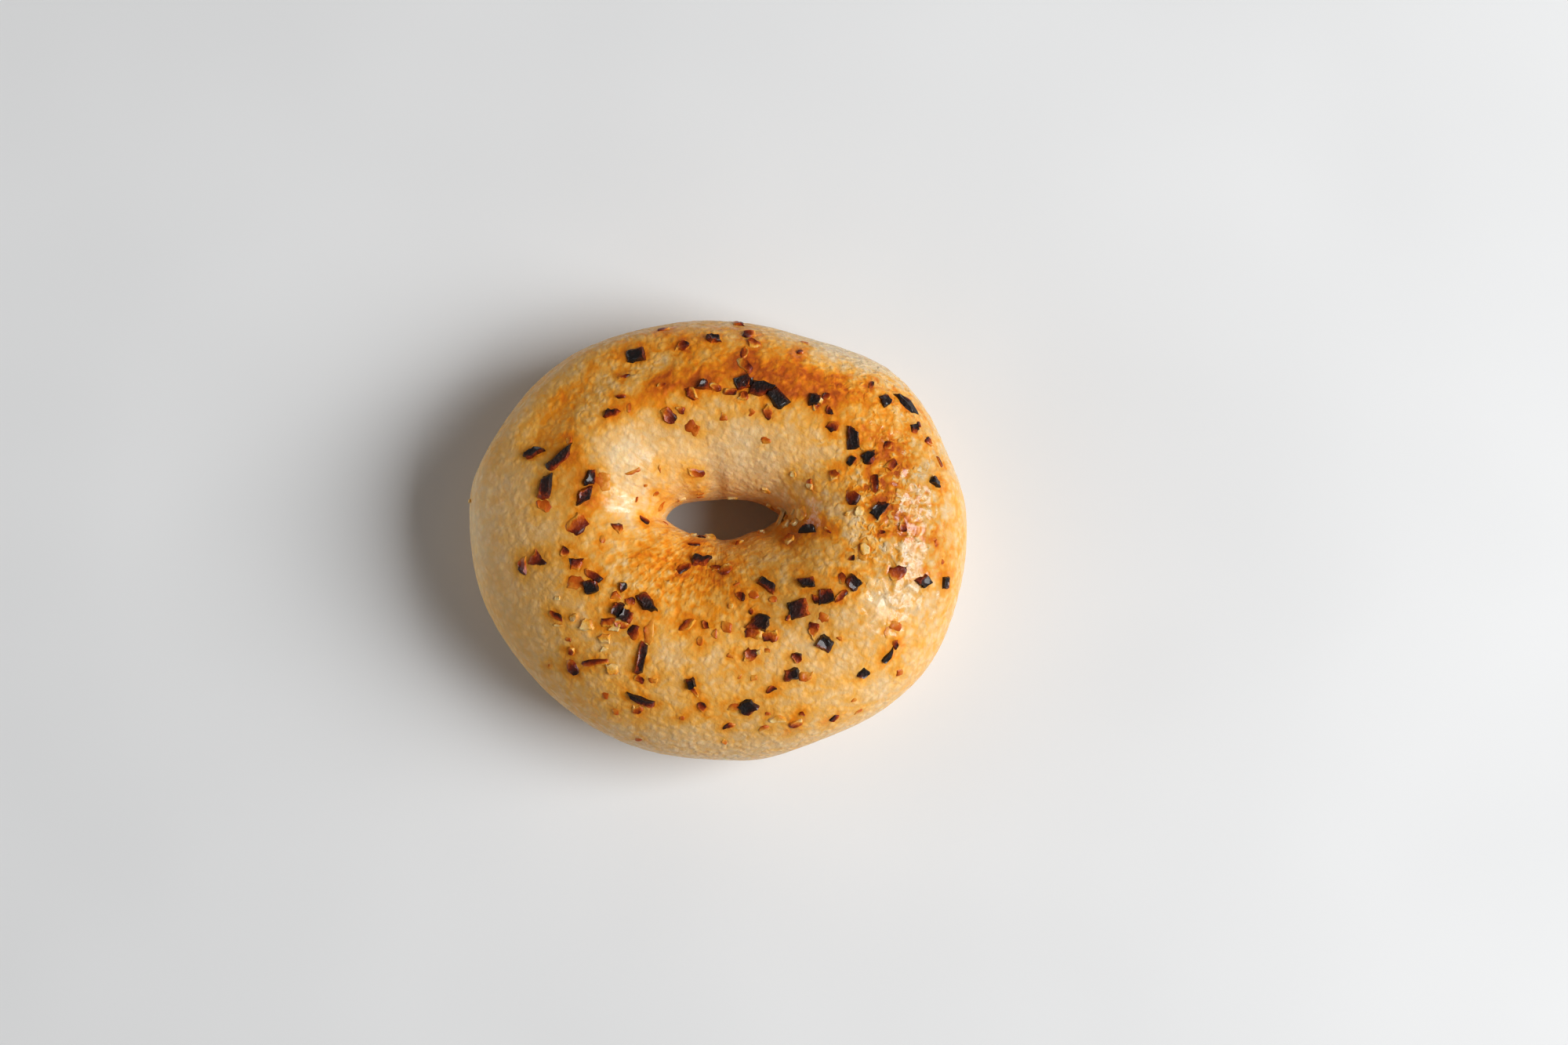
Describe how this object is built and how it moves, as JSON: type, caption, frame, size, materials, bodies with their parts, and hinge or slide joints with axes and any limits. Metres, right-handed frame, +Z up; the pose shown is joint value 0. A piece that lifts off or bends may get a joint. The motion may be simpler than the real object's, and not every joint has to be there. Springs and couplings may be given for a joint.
{
  "type": "bagel",
  "caption": "Toasted onion bagel: an oval baked ring with a nearly closed lens-shaped hole, a flat base and scorched onion flakes on its crust.",
  "frame": {"origin": "middle of the flat base, on the surface that the bagel rests on", "axes": "+X along the ring's long way, +Y along its short way, +Z up"},
  "size_m": [0.1105, 0.0978, 0.0385],
  "materials": {
    "crust": "egg-washed baked crust, satin with glossy patches",
    "onion_charred": "charred dried onion, satin",
    "onion_browned": "dark red-brown toasted onion, satin",
    "onion_golden": "golden orange toasted onion, satin",
    "onion_pale": "pale yellow onion crumbs, satin"
  },
  "bodies": {
    "root": {"bagel": "crust"}
  },
  "joints": []
}
